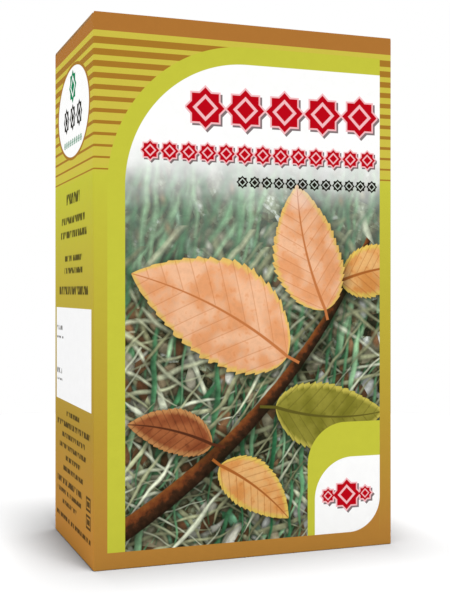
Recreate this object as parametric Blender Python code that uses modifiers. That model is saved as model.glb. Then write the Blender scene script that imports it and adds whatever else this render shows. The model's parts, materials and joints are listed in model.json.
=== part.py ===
"""Small folding carton for dried herbs: a paperboard sleeve with a tucked lid and a glued bottom.

Metres, Z up. The printed front faces -Y, the back is at +Y, and the origin is the middle of the base.
The real carton is one die-cut sheet. It is modelled closed. The walls stay one solid, and each flap is
a solid of its own beside the crease that it folds on. The flaps that open sit under an empty on their
crease.
"""

import math

import bmesh
import bpy
from mathutils import Vector

MM = 0.001

# Driving sizes of the closed carton
WIDTH = 75 * MM
DEPTH = 45 * MM
HEIGHT = 125 * MM
BOARD = 0.4 * MM

# Clearances: beside a fold, and the film of glue between stacked flaps
FOLD_GAP = 0.3 * MM
GLUE_FILM = 0.1 * MM

# Sleeve
CORNER_RADIUS = 0.6 * MM
ARC_STEPS = 5
SEAM_LAP = 12 * MM
SEAM_END_SET_BACK = 4 * MM
SEAM_END_TAPER = 4 * MM
SEAM_BITE = 0.2 * MM

# Lid and its tuck, which leans inwards so that it clears the front wall as the lid opens
LID_SIDE_INSET = 0.3 * MM
LID_CORNER_CUT = 1.2 * MM
TUCK_LENGTH = 14 * MM
TUCK_LEAN = math.radians(12)
TUCK_CORNER_RADIUS = 8 * MM
FOLD_RADIUS = 0.5 * MM
FOLD_STEPS = 5

# Dust flaps, folded in from the side walls and cut away at the back, where the lid comes down on them
DUST_LENGTH = 28 * MM
DUST_BACK_INSET = 1.2 * MM
DUST_BACK_TAPER = math.radians(28)
DUST_FRONT_INSET = 2.4 * MM
DUST_FRONT_TAPER = math.radians(4)
DUST_CORNER_RADIUS = 4 * MM

# Worked out from the sizes above
HALF_BOARD = BOARD / 2
INNER_HALF_WIDTH = WIDTH / 2 - BOARD
INNER_HALF_DEPTH = DEPTH / 2 - BOARD
ROOT_GAP = HALF_BOARD + FOLD_GAP
LID_CREASE = Vector((0, DEPTH / 2 - HALF_BOARD, HEIGHT - HALF_BOARD))
SIDE_WALL_TOP = HEIGHT - BOARD - FOLD_GAP
DUST_CREASE_HEIGHT = SIDE_WALL_TOP - HALF_BOARD
LAYER = BOARD + GLUE_FILM
LID_FLAT = DEPTH - BOARD - FOLD_GAP - HALF_BOARD - FOLD_RADIUS - HALF_BOARD


def clear_scene():
    for old in list(bpy.data.objects):
        bpy.data.objects.remove(old, do_unlink=True)


def new_collection(name):
    made = bpy.data.collections.new(name)
    bpy.context.scene.collection.children.link(made)
    return made


def board_material(name, colour, roughness):
    """Printed or bare paperboard: never metallic, with a little gloss where it is varnished."""
    made = bpy.data.materials.new(name)
    made.use_nodes = True
    shader = made.node_tree.nodes["Principled BSDF"]
    shader.inputs["Base Color"].default_value = (*colour, 1)
    shader.inputs["Roughness"].default_value = roughness
    shader.inputs["Metallic"].default_value = 0
    made.diffuse_color = (*colour, 1)
    return made


def filleted(corners):
    """Points of a closed outline. Each corner is (x, y, radius), and its round is an arc."""
    outline = []
    for i, (x, y, radius) in enumerate(corners):
        here = Vector((x, y))
        if radius == 0:
            outline.append(here)
            continue
        before = (Vector(corners[i - 1][:2]) - here).normalized()
        after = (Vector(corners[(i + 1) % len(corners)][:2]) - here).normalized()
        half_angle = before.angle(after) / 2
        centre = here + (before + after).normalized() * (radius / math.sin(half_angle))
        start = here + before * (radius / math.tan(half_angle)) - centre
        end = here + after * (radius / math.tan(half_angle)) - centre
        for step in range(ARC_STEPS + 1):
            outline.append(centre + radius * start.slerp(end, step / ARC_STEPS))
    return outline


def rectangle(half_width, half_depth, radius):
    return filleted(
        [
            (-half_width, -half_depth, radius),
            (half_width, -half_depth, radius),
            (half_width, half_depth, radius),
            (-half_width, half_depth, radius),
        ]
    )


def flat_board(name, outline, collection, material, thickness=BOARD):
    """A flat piece of board: a filled 2D outline in its own XY plane, with half its thickness each side."""
    curve = bpy.data.curves.new(name, "CURVE")
    curve.dimensions = "2D"
    curve.fill_mode = "BOTH"
    curve.extrude = thickness / 2
    spline = curve.splines.new("POLY")
    spline.points.add(len(outline) - 1)
    for point, place in zip(spline.points, outline):
        point.co = (place.x, place.y, 0, 1)
    spline.use_cyclic_u = True
    piece = bpy.data.objects.new(name, curve)
    collection.objects.link(piece)
    curve.materials.append(material)
    return piece


def folded_board(name, work, collection, material, offset):
    """A folded piece of board: an open surface that Solidify gives its thickness."""
    mesh = bpy.data.meshes.new(name)
    work.to_mesh(mesh)
    work.free()
    piece = bpy.data.objects.new(name, mesh)
    collection.objects.link(piece)
    mesh.materials.append(material)
    shell = piece.modifiers.new("board", "SOLIDIFY")
    shell.thickness = BOARD
    shell.offset = offset
    shell.use_even_offset = True
    return piece


def helper(piece):
    """Marks a shape that only cuts or joins others."""
    piece.hide_render = True
    piece.display_type = "WIRE"
    return piece


def combine(piece, other, operation):
    joined = piece.modifiers.new(other.name, "BOOLEAN")
    joined.operation = operation
    joined.solver = "EXACT"
    joined.object = other


def as_mesh(piece, collection):
    """The curve as a mesh object of the same name and place, so that a Boolean can use it."""
    bpy.context.view_layer.update()
    graph = bpy.context.evaluated_depsgraph_get()
    mesh = bpy.data.meshes.new_from_object(piece.evaluated_get(graph))
    work = bmesh.new()
    work.from_mesh(mesh)
    bmesh.ops.remove_doubles(work, verts=work.verts, dist=1e-6)
    work.to_mesh(mesh)
    work.free()
    name = piece.name
    matrix = piece.matrix_world.copy()
    bpy.data.objects.remove(piece)
    made = bpy.data.objects.new(name, mesh)
    made.matrix_world = matrix
    collection.objects.link(made)
    return made


def crease(name, place, collection):
    """An empty on a crease, which carries what folds there."""
    made = bpy.data.objects.new(name, None)
    made.empty_display_size = 5 * MM
    made.location = place
    collection.objects.link(made)
    return made


def make_sleeve(collection, helpers, material):
    """The four walls, folded round and closed by a lap glued inside the right wall at the back corner."""
    work = bmesh.new()
    ring = [work.verts.new((p.x, p.y, 0)) for p in rectangle(WIDTH / 2, DEPTH / 2, CORNER_RADIUS)]
    edges = [work.edges.new((ring[i - 1], ring[i])) for i in range(len(ring))]
    walls = bmesh.ops.extrude_edge_only(work, edges=edges)["geom"]
    risen = [part for part in walls if isinstance(part, bmesh.types.BMVert)]
    bmesh.ops.translate(work, verts=risen, vec=(0, 0, HEIGHT))
    for wall in work.faces:
        wall.normal_update()
        if wall.normal.dot(wall.calc_center_median()) < 0:
            wall.normal_flip()
    sleeve = folded_board("sleeve", work, collection, material, offset=-1)

    combine(sleeve, seam_lap(helpers, material), "UNION")
    combine(sleeve, side_wall_cutter(helpers), "DIFFERENCE")
    return sleeve


def seam_lap(helpers, material):
    """The glue lap: an upright strip against the inside of the right wall, its ends cut at a slant."""
    low = SEAM_END_SET_BACK
    high = HEIGHT - SEAM_END_SET_BACK
    outline = [
        Vector((0, low)),
        Vector((SEAM_LAP, low + SEAM_END_TAPER)),
        Vector((SEAM_LAP, high - SEAM_END_TAPER)),
        Vector((0, high)),
    ]
    lap = flat_board("seam_lap", outline, helpers, material, BOARD + SEAM_BITE)
    middle = INNER_HALF_WIDTH - BOARD + (BOARD + SEAM_BITE) / 2
    lap.location = (middle, INNER_HALF_DEPTH + SEAM_BITE, 0)
    lap.rotation_euler = (math.pi / 2, 0, -math.pi / 2)
    return helper(as_mesh(lap, helpers))


def side_wall_cutter(helpers):
    """A bar across the top, which lowers the side walls so that the lid lies over their flaps."""
    bpy.ops.mesh.primitive_cube_add(size=1)
    bar = bpy.context.active_object
    bar.name = "side_wall_cutter"
    bar.scale = (WIDTH + BOARD, 2 * INNER_HALF_DEPTH, 2 * (HEIGHT - SIDE_WALL_TOP))
    bar.location = (0, 0, HEIGHT)
    for home in list(bar.users_collection):
        home.objects.unlink(bar)
    helpers.objects.link(bar)
    return helper(bar)


def lid_section(distance):
    """Where the middle of the lid's board lies, seen from the side, at a distance from its crease."""
    turn = math.pi / 2 + TUCK_LEAN
    angle = min(max(distance - LID_FLAT, 0) / FOLD_RADIUS, turn)
    down = max(distance - LID_FLAT - FOLD_RADIUS * turn, 0)
    y = -min(distance, LID_FLAT) - FOLD_RADIUS * math.sin(angle) - down * math.cos(turn)
    z = -FOLD_RADIUS * (1 - math.cos(angle)) - down * math.sin(turn)
    return y, z


def lid_outline():
    """The lid laid flat: half its width at distances from its crease, as far as the tuck's end."""
    bend = FOLD_RADIUS * (math.pi / 2 + TUCK_LEAN)
    wide = WIDTH / 2 - LID_SIDE_INSET
    narrow = INNER_HALF_WIDTH - FOLD_GAP
    outline = [(ROOT_GAP, wide), (LID_FLAT - LID_CORNER_CUT, wide)]
    outline += [(LID_FLAT + bend * step / FOLD_STEPS, narrow) for step in range(FOLD_STEPS + 1)]
    arc_start = LID_FLAT + bend + TUCK_LENGTH - TUCK_CORNER_RADIUS
    for step in range(ARC_STEPS + 1):
        angle = math.pi / 2 * step / ARC_STEPS
        reach = arc_start + TUCK_CORNER_RADIUS * math.sin(angle)
        outline.append((reach, narrow - TUCK_CORNER_RADIUS * (1 - math.cos(angle))))
    return outline


def make_lid(collection, material):
    """The lid hinges on the back wall's top crease, and its tuck slides down behind the front wall."""
    work = bmesh.new()
    rungs = []
    for distance, half_width in lid_outline():
        y, z = lid_section(distance)
        rungs.append([work.verts.new((half_width * side, y, z)) for side in (-1, 1)])
    for (left, right), (next_left, next_right) in zip(rungs, rungs[1:]):
        work.faces.new((left, next_left, next_right, right))
    hinge = crease("lid_crease", LID_CREASE, collection)
    lid = folded_board("lid", work, collection, material, offset=0)
    lid.parent = hinge


def dust_outline(side):
    """A dust flap seen from above, from its crease at x = 0 inwards: side is 1 on the left, -1 on the right."""
    back = DEPTH / 2 - DUST_BACK_INSET
    front = -DEPTH / 2 + DUST_FRONT_INSET
    tip = ROOT_GAP + DUST_LENGTH
    return filleted(
        [
            (side * ROOT_GAP, front, 0),
            (side * tip, front + DUST_LENGTH * math.tan(DUST_FRONT_TAPER), DUST_CORNER_RADIUS),
            (side * tip, back - DUST_LENGTH * math.tan(DUST_BACK_TAPER), DUST_CORNER_RADIUS),
            (side * ROOT_GAP, back, 0),
        ]
    )


def make_top_dust_flaps(collection, material):
    """Two flaps under the lid, on the creases at the tops of the side walls."""
    for name, side in (("dust_flap_left", 1), ("dust_flap_right", -1)):
        place = (-side * (WIDTH / 2 - HALF_BOARD), 0, DUST_CREASE_HEIGHT)
        hinge = crease(name + "_crease", place, collection)
        flap = flat_board(name, dust_outline(side), collection, material)
        flap.parent = hinge


def make_bottom(collection, outside_print, bare):
    """The glued bottom, from the outside in: outer flap, inner flap, and a dust flap from each side wall."""
    plain = rectangle(INNER_HALF_WIDTH - FOLD_GAP, INNER_HALF_DEPTH - FOLD_GAP, CORNER_RADIUS)
    outer = flat_board("bottom_outer_flap", plain, collection, outside_print)
    outer.location.z = HALF_BOARD
    inner = flat_board("bottom_inner_flap", plain, collection, bare)
    inner.location.z = HALF_BOARD + LAYER
    for name, side in (("bottom_dust_flap_left", 1), ("bottom_dust_flap_right", -1)):
        flap = flat_board(name, dust_outline(side), collection, bare)
        flap.location = (-side * (WIDTH / 2 - HALF_BOARD), 0, HALF_BOARD + 2 * LAYER)


def main():
    clear_scene()
    carton = new_collection("folding_carton")
    helpers = new_collection("helpers")

    wall_print = board_material("wall_print", (0.56, 0.55, 0.05), 0.4)
    end_print = board_material("end_print", (0.42, 0.18, 0.035), 0.4)
    bare = board_material("bare_board", (0.55, 0.52, 0.46), 0.85)

    make_sleeve(carton, helpers, wall_print)
    make_lid(carton, end_print)
    make_top_dust_flaps(carton, bare)
    make_bottom(carton, end_print, bare)


main()
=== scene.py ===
# %% [markdown]
# # A printed folding carton
# This lesson dresses a small herb carton: one sheet of paperboard, printed outside, folded round and
# glued, with a lid that tucks in. The imported model gives the sizes, the creases and the bodies that
# move. Here it gets real folds, a varnished print, bare grey board inside and brownish cut edges.
#
# The imported model comes first, because every piece below is placed from it.

# %% Load the imported carton
import json
import math

import bpy
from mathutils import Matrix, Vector


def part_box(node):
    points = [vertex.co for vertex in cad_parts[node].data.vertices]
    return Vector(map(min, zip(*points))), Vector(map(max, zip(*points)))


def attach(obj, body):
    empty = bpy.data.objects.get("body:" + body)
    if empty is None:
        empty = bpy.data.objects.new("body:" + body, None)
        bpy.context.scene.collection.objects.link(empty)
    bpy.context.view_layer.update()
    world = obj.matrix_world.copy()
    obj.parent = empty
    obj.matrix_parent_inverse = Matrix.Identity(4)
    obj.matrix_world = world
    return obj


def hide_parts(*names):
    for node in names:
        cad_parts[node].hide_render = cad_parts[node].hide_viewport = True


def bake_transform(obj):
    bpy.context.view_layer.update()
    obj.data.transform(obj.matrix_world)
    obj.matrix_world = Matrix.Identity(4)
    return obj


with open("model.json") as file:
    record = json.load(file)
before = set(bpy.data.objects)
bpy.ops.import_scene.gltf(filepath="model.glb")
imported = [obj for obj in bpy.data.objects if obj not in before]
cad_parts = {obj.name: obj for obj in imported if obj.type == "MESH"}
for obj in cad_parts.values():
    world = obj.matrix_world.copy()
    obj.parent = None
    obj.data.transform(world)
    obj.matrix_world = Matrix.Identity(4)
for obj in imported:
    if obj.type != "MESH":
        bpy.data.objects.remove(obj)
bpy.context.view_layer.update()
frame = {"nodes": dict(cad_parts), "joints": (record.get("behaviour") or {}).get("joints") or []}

print("nodes:", ", ".join(sorted(frame["nodes"])))

# %% [markdown]
# Carton makers work in millimetres, and so does this lesson. A mesh is scaled to metres only when it
# is made. The sleeve's box gives width, depth and height, and a dust flap lies flat, so its height is
# the thickness of the board. The joints give the creases.

# %% Sizes, in millimetres
MM = 0.001
sleeve_low, sleeve_high = (Vector(corner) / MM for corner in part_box("sleeve"))
WIDTH, DEPTH, HEIGHT = sleeve_high - sleeve_low
flap_low, flap_high = (Vector(corner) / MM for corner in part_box("dust_flap_left"))
BOARD = flap_high.z - flap_low.z
CREASES = {joint["name"]: Vector(joint["pos_m"]) / MM for joint in frame["joints"]}
LID_CREASE = CREASES["lid_hinge"]
DUST_CREASE = CREASES["dust_flap_right_hinge"]
print(f"carton {WIDTH:.1f} x {DEPTH:.1f} x {HEIGHT:.1f} mm, board {BOARD:.2f} mm")

# %% [markdown]
# ## Camera
# The photo was taken at half the carton's height with the camera level, so its upright edges stay
# parallel. The two vanishing points of the front and the left side give the turn, about 20 degrees, and
# the focal length. The small shift moves the level line a little above the middle of the picture.

# %% Camera
CAMERA_TURN = math.radians(20.06)
CAMERA_DISTANCE = 232.3  # to the front left edge, measured along the view
EDGE_LEFT_OF_MIDDLE = 29.29
LENS = 62.57
LEVEL_SHIFT = -0.0145


def place_camera():
    ahead = Vector((math.sin(CAMERA_TURN), math.cos(CAMERA_TURN), 0))
    right = Vector((math.cos(CAMERA_TURN), -math.sin(CAMERA_TURN), 0))
    front_left_edge = Vector((-WIDTH / 2, -DEPTH / 2, HEIGHT / 2))
    data = bpy.data.cameras.new("camera")
    data.lens = LENS
    data.shift_y = LEVEL_SHIFT
    data.clip_start = 0.01
    camera = bpy.data.objects.new("camera", data)
    camera.location = (front_left_edge + right * EDGE_LEFT_OF_MIDDLE - ahead * CAMERA_DISTANCE) * MM
    camera.rotation_euler = (math.pi / 2, 0, -CAMERA_TURN)
    bpy.context.scene.collection.objects.link(camera)
    bpy.context.scene.camera = camera
    return camera


camera = place_camera()
print("camera at", [round(c, 4) for c in camera.location])

# %% [markdown]
# ## Floor and light
# The carton stands on pale paper in an even white room, which lights all its sides alike. A lamp
# high above gives the paper most of its light. It is narrow and reaches towards the viewer, so the
# shadow is short and soft at the sides, and longer behind, as in the photo. Light linking keeps the
# lamp off the carton itself, whose lid would else be much brighter than its walls.
# The Standard view keeps print colours as mixed.

# %% Light
ROOM_STRENGTH = 1.0
LAMP_PLACE = (0.0, -0.08, 0.9)
LAMP_SIZES = (0.12, 0.35)
LAMP_POWER = 40.0


def make_studio():
    scene = bpy.context.scene
    scene.view_settings.view_transform = "Standard"
    world = bpy.data.worlds.new("white_room")
    world.use_nodes = True
    background = world.node_tree.nodes["Background"]
    background.inputs["Color"].default_value = (1, 1, 1, 1)
    background.inputs["Strength"].default_value = ROOM_STRENGTH
    scene.world = world

    lamp_data = bpy.data.lights.new("soft_lamp", "AREA")
    lamp_data.shape = "RECTANGLE"
    lamp_data.size, lamp_data.size_y = LAMP_SIZES
    lamp_data.energy = LAMP_POWER
    lamp = bpy.data.objects.new("soft_lamp", lamp_data)
    lamp.location = LAMP_PLACE
    lamp.light_linking.receiver_collection = bpy.data.collections.new("lit_by_the_lamp")
    scene.collection.objects.link(lamp)
    return lamp


lamp = make_studio()
print("white room and one soft lamp")

# %% [markdown]
# ## Writing shader sums as Python
# The print is drawn by arithmetic on the place of each point, in millimetres. Node by node that would
# be hard to read, so a small class wraps a socket and lets Python's own signs add the nodes. Colours
# and vectors go through Mix and Vector Math, since a Math node would turn a colour grey.

# %% A socket that does sums
MIX_SHARE, MIX_START, MIX_END = 0, 6, 7  # the sockets of a Mix node that mixes colours
MIX_COLOUR = 2  # and its output


class Ink:
    """A socket in a material's nodes. Python's operators on it add the nodes that do the sum."""

    def __init__(self, tree, socket=None):
        self.tree = tree
        self.socket = socket

    def node(self, kind, settings=None, sockets=None, output=0):
        """Any node: its settings are set first, then the values or links of its sockets."""
        made = self.tree.nodes.new("ShaderNode" + kind)
        for name, value in (settings or {}).items():
            if name == "stops":
                set_stops(made.color_ramp, value)
            else:
                setattr(made, name, value)
        for key, value in (sockets or {}).items():
            if isinstance(value, Ink):
                self.tree.links.new(value.socket, made.inputs[key])
            else:
                made.inputs[key].default_value = value
        return Ink(self.tree, made.outputs[output]) if made.outputs else None

    def output(self, name):
        """Another output of the same node."""
        return Ink(self.tree, self.socket.node.outputs[name])

    def parts(self):
        """The x and y of a vector, as two values."""
        split = self.node("SeparateXYZ", None, {0: self})
        return split, split.output("Y")

    def channels(self):
        """The red, green and blue of a colour, as three values."""
        red = self.node("SeparateColor", None, {0: self})
        return red, red.output("Green"), red.output("Blue")

    def ramp(self, stops):
        """The colour that a ramp gives for this value."""
        return self.node("ValToRGB", {"stops": stops}, {0: self})

    def drawn_by(self, group, *values):
        """What a shared drawing gives for these values of its inputs, in their order."""
        return self.node("Group", {"node_tree": group}, dict(enumerate(values)))

    def math(self, operation, *values, clamp=False):
        settings = {"operation": operation, "use_clamp": clamp}
        return self.node("Math", settings, dict(enumerate(values)))

    def combine(self, operation, first, second):
        """The sum of two values, colours or vectors, by the node that suits them."""
        kinds = {each.socket.type for each in (first, second) if isinstance(each, Ink)}
        if "RGBA" in kinds:
            settings = {"data_type": "RGBA", "blend_type": operation}
            sockets = {MIX_SHARE: 1.0, MIX_START: as_grey(first), MIX_END: as_grey(second)}
            return self.node("Mix", settings, sockets, MIX_COLOUR)
        if "VECTOR" in kinds:
            sockets = {0: as_vector(first), 1: as_vector(second)}
            return self.node("VectorMath", {"operation": operation}, sockets)
        return self.math(operation, first, second)

    def __add__(self, other):
        return self.combine("ADD", self, other)

    def __radd__(self, other):
        return self.combine("ADD", other, self)

    def __sub__(self, other):
        return self.combine("SUBTRACT", self, other)

    def __rsub__(self, other):
        return self.combine("SUBTRACT", other, self)

    def __mul__(self, other):
        return self.combine("MULTIPLY", self, other)

    def __rmul__(self, other):
        return self.combine("MULTIPLY", other, self)

    def __truediv__(self, other):
        return self.combine("DIVIDE", self, other)

    def __pow__(self, other):
        return self.math("POWER", self, other)

    def __abs__(self):
        return self.math("ABSOLUTE", self)

    def __gt__(self, other):
        return self.math("GREATER_THAN", self, other)

    def __lt__(self, other):
        return self.math("LESS_THAN", self, other)

    def floor(self):
        return self.math("FLOOR", self)

    def fract(self):
        return self.math("FRACT", self)

    def limited(self):
        """The value kept between 0 and 1."""
        return self.math("ADD", self, 0.0, clamp=True)

    def between(self, start, end):
        """The colour from start to end, with this value as the share of end."""
        sockets = {MIX_SHARE: self, MIX_START: start, MIX_END: end}
        return self.node("Mix", {"data_type": "RGBA"}, sockets, MIX_COLOUR)


def set_stops(ramp, stops):
    while len(ramp.elements) > 1:
        ramp.elements.remove(ramp.elements[-1])
    ramp.elements[0].position, ramp.elements[0].color = stops[0]
    for position, colour in stops[1:]:
        ramp.elements.new(position).color = colour


def as_grey(value):
    """Anything as a colour. A value is first put into all three channels."""
    if isinstance(value, Ink) and value.socket.type == "VALUE":
        return value.node("CombineColor", None, {0: value, 1: value, 2: value})
    return value if isinstance(value, (Ink, tuple)) else (value, value, value, 1)


def as_vector(value):
    return value if isinstance(value, (Ink, tuple)) else (value, value, value)


print("sockets can be added, multiplied and mixed")

# %% [markdown]
# ## Small tools for drawing with sums
# A shape is a number: how far a point lies inside its outline, in millimetres. The larger of two such
# numbers joins two shapes, and the smaller keeps what they share. `filled` turns the number into ink
# or no ink, with an edge as narrow as a real printed one.

# %% Drawing tools
EDGE_BLUR = 0.04


def most(first, second):
    return (first if isinstance(first, Ink) else second).math("MAXIMUM", first, second)


def least(first, second):
    return (first if isinstance(first, Ink) else second).math("MINIMUM", first, second)


def filled(gap, blur=EDGE_BLUR):
    """1 inside the outline and 0 outside, for a gap that grows inwards."""
    if isinstance(blur, Ink):
        return gap.math("ADD", gap / (blur * 2), 0.5, clamp=True)
    return gap.math("MULTIPLY_ADD", gap, 0.5 / blur, 0.5, clamp=True)


def distance(x, y):
    return (x * x + y * y) ** 0.5


def ease(value, start, end):
    """A soft step from 0 at start to 1 at end."""
    settings = {"interpolation_type": "SMOOTHSTEP"}
    return value.node("MapRange", settings, {0: value, 1: start, 2: end, 3: 0.0, 4: 1.0})


def noise(place, size, detail=2.0, output=0):
    """Soft random values with lumps of about that size, or random colours with output="Color"."""
    sockets = {"Vector": place, "Scale": 1 / size, "Detail": detail}
    return place.node("TexNoise", {"noise_dimensions": "2D"}, sockets, output)


def squeezed(place, scale, angle=0.0):
    """The place in a pattern that is stretched by scale along x and y, and turned by angle degrees."""
    sockets = {"Vector": place, "Rotation": (0, 0, math.radians(angle)), "Scale": (*scale, 1)}
    return place.node("Mapping", {"vector_type": "TEXTURE"}, sockets)


WALL_LIGHT = 1.04  # what a white wall of the carton returns in this room


def screen_colour(*channels):
    """A colour read as 0 to 255 on a screen, as the linear values that a shader takes (sRGB curve)."""
    shares = [channel / 255 for channel in channels]
    linear = [((share + 0.055) / 1.055) ** 2.4 if share > 10 / 255 else share / 12.92 for share in shares]
    return (*(value / WALL_LIGHT for value in linear), 1.0)


def fade(*stops):
    """Stops for a ramp, each a position from 0 to 1 and a colour as read on a screen."""
    return [(position, screen_colour(*channels)) for position, *channels in stops]


def shared(name, colours, numbers, draw):
    """A node group: a drawing with those colours and numbers as inputs, laid out once for many uses."""
    tree = bpy.data.node_groups.new(name, "ShaderNodeTree")
    labels = (colours + " " + numbers).split()
    for label in labels:
        kind = "NodeSocketColor" if label in colours.split() else "NodeSocketFloat"
        tree.interface.new_socket(label, in_out="INPUT", socket_type=kind)
    tree.interface.new_socket("drawn", in_out="OUTPUT", socket_type="NodeSocketColor")
    entry = tree.nodes.new("NodeGroupInput")
    drawn = draw(*(Ink(tree, entry.outputs[label]) for label in labels))
    end = tree.nodes.new("NodeGroupOutput")
    tree.links.new(drawn.socket, end.inputs["drawn"])
    return tree


print("drawing tools: most, least, filled, distance, ease, noise, squeezed, fade, shared")

# %% [markdown]
# The floor is the first thing to use them: a round sheet of paper with hardly visible clouds. It is
# lit to full white as far as its rim, so the rim can't be told from the room.

# %% Floor paper
PAPER_TONE = 0.175
PAPER_PALER = 1.0  # how much paler it gets with the square of the distance, to make up for the lamp
PAPER_RADIUS = 0.28  # metres, like all of the floor's measures
PAPER_CLOUDS = 0.05
CLOUD_STRENGTH = 0.004


def new_finish(name):
    material = bpy.data.materials.new(name)
    material.use_nodes = True
    material.node_tree.nodes.clear()
    return material, Ink(material.node_tree)


def lay_floor():
    bpy.ops.mesh.primitive_circle_add(radius=PAPER_RADIUS, vertices=96, fill_type="NGON")
    floor = bpy.context.active_object
    floor.name = "floor"
    paper, start = new_finish("floor_paper")
    place = start.node("TexCoord", output="Object")
    clouds = noise(place, PAPER_CLOUDS)
    out = place.node("VectorMath", {"operation": "LENGTH"}, {0: place}, output="Value")
    tone = clouds * CLOUD_STRENGTH + out * out * PAPER_PALER + PAPER_TONE
    sockets = {"Base Color": tone, "Roughness": 0.9, "Specular IOR Level": 0.05}
    shader = start.node("BsdfPrincipled", None, sockets)
    start.node("OutputMaterial", None, {"Surface": shader})
    floor.data.materials.append(paper)
    lamp.light_linking.receiver_collection.objects.link(floor)


lay_floor()
print("floor laid, radius", PAPER_RADIUS, "m")

# %% [markdown]
# ## The frame that both faces share
# Measured on the front, from its top left corner: a brown band at the head and foot, twelve brown
# stripes that get thinner downwards, and a lime arch round the picture. The outer and inner line of
# the arch are arcs about one centre, so one distance gives both. Beside it runs a strip that turns
# from lime to brown, and it goes on round the corner over the whole side.

# %% Measures and colours of the printed frame
HEAD_BAND = 4.1
FOOT_BAND = 3.85
STRIPE_TOP = 5.54
STRIPE_PITCH = 2.67
STRIPE_COUNT = 12
FIRST_STRIPE = 1.58
STRIPE_THINNING = 0.11
FADE_START = 36  # where the lime starts to turn brown
WARM_LIME_END = (37, 33)
ARCH_CENTRE = (36.7, 38.8)
ARCH_OUTER = 33.55
ARCH_INNER = 29.45
SIDE_STRIP = 3.25

BROWN = screen_colour(175, 116, 52)
# The foot's brown is the printed brown painted lighter, to make up for the shade near the floor.
FOOT_BROWN_PAINTED_LIGHTER = screen_colour(182, 129, 57)
STRIPE_BROWN = screen_colour(168, 120, 42)
LIME = screen_colour(197, 197, 63)
WARM_LIME = screen_colour(205, 191, 72)
WHITE = screen_colour(255, 255, 254)
FIELD_WHITE = screen_colour(248, 248, 248)
# The front's fade ends in that brown, painted lighter against the shade near the floor.
FRONT_FADE_PAINTED_LIGHTER_AT_FOOT = [(0.0, LIME), *fade((0.35, 190, 176, 59), (0.7, 183, 150, 55)), (1.0, FOOT_BROWN_PAINTED_LIGHTER)]
# The side's fade has its last stop painted lighter, to make up for the shade near the floor.
SIDE_FADE_PAINTED_LIGHTER_AT_FOOT = fade((0.0, 195, 195, 60), (0.3, 188, 171, 60), (0.7, 175, 141, 52), (1.0, 188, 130, 56))


def stripes(y):
    """Ink of the twelve stripes, for a point y millimetres below the top edge."""
    count = (y - STRIPE_TOP) / STRIPE_PITCH
    row = count.floor()
    below_top = (count - row) * STRIPE_PITCH
    above_foot = row * -STRIPE_THINNING + FIRST_STRIPE - below_top
    within = (count > -0.2) * (count < STRIPE_COUNT)  # with room for the first one's soft edge
    return filled(least(below_top, above_foot)) * within


def striped_ground(y, fade_stops):
    """The colour outside the arch: stripes on lime, which turns brown towards the foot."""
    faded = ((y - FADE_START) / (HEIGHT - FOOT_BAND - FADE_START)).ramp(fade_stops)
    ground = ease(y, *WARM_LIME_END).between(faded, WARM_LIME)
    return stripes(y).between(ground, STRIPE_BROWN)


print(f"{STRIPE_COUNT} stripes from {STRIPE_TOP} mm down")

# %% [markdown]
# ## Ornament
# Rows of red folk stars, like those on woven and embroidered borders, stand on the white. The star is
# a square over a diamond, with a ring cut out of it. A diamond is a shape whose distance is simply
# |x| + |y|. A pale halo and a thin dark line thrown down and to the right lift the red from the white.

# %% Folk stars
RED = screen_colour(188, 8, 24)
HALO = screen_colour(246, 190, 194)
INK_SHADOW = screen_colour(84, 44, 50)
DARK_INK = screen_colour(30, 28, 20)
STAR_REACH = 4.9  # from a star's middle to its tip, at full size
STAR_SQUARE = 3.45
STAR_RING = 1.95
STAR_RING_HALF_WIDTH = 0.36
THROWN = 1.2  # how far the dark line is thrown, in widths of the halo
THROWN_STRENGTH = 0.85


def star(x, y, scale=1.0):
    """How far inside a folk star a point lies, measured from the star's middle."""
    across = abs(x)
    along = abs(y)
    reach = (across + along) * math.sqrt(0.5)
    diamond = STAR_REACH * scale * math.sqrt(0.5)
    outline = most(STAR_SQUARE * scale - most(across, along), diamond - reach)
    return least(outline, abs(reach - STAR_RING * scale) - STAR_RING_HALF_WIDTH * scale)


def star_row(x, y, left, middle, pitch, count, scale):
    """A row of stars, a pitch apart, between left and left + pitch * count."""
    place = (x - left) / pitch
    along = (place.fract() - 0.5) * pitch
    within = (place > 0) * (place < count)
    return star(along, y - middle, scale) * within - (1 - within)


def stamp(under, shape, x, y, halo):
    """Prints a shape in red with its halo and its thrown line over what lies under it."""
    thrown = shape(x - halo * THROWN, y - halo * THROWN)
    line = filled(thrown + halo)
    with_line = (line * THROWN_STRENGTH).between(under, INK_SHADOW)
    flat = shape(x, y)
    with_halo = filled(flat + halo).between(with_line, HALO)
    return filled(flat).between(with_halo, RED)


print("a star reaches", STAR_REACH, "mm")

# %% [markdown]
# ## The picture: strands
# Behind everything lies a woodland floor of dry grass and litter. It is made in layers. Each layer is
# a brick pattern laid at an angle, and every brick holds one strand with its own tone, tilt, bend and
# width, all drawn from the brick's number. A strand darkens what is just round it, and that gives the
# heap its depth. The layer is a node group, so ten layers cost little.

# %% Strands of grass and litter
STRAND_SHADOW = 0.62
SHADE = screen_colour(24, 28, 16)
ROW_SLIDE = 9  # how far a row of bricks is slid along at most, in bricks
ROW_NUMBERING = 37.7  # keeps the bricks' numbers of one row apart from the next row's
STRAND_TILT = 0.9
STRAND_POINTS = (7, 1.6)  # how fast a strand widens from its root and narrows to its tip
STRAND_HALVES = (0.04, 0.22)  # half a thin strand, and what half a broad one has more
STRAND_SHADE_REACH = 0.4


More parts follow.
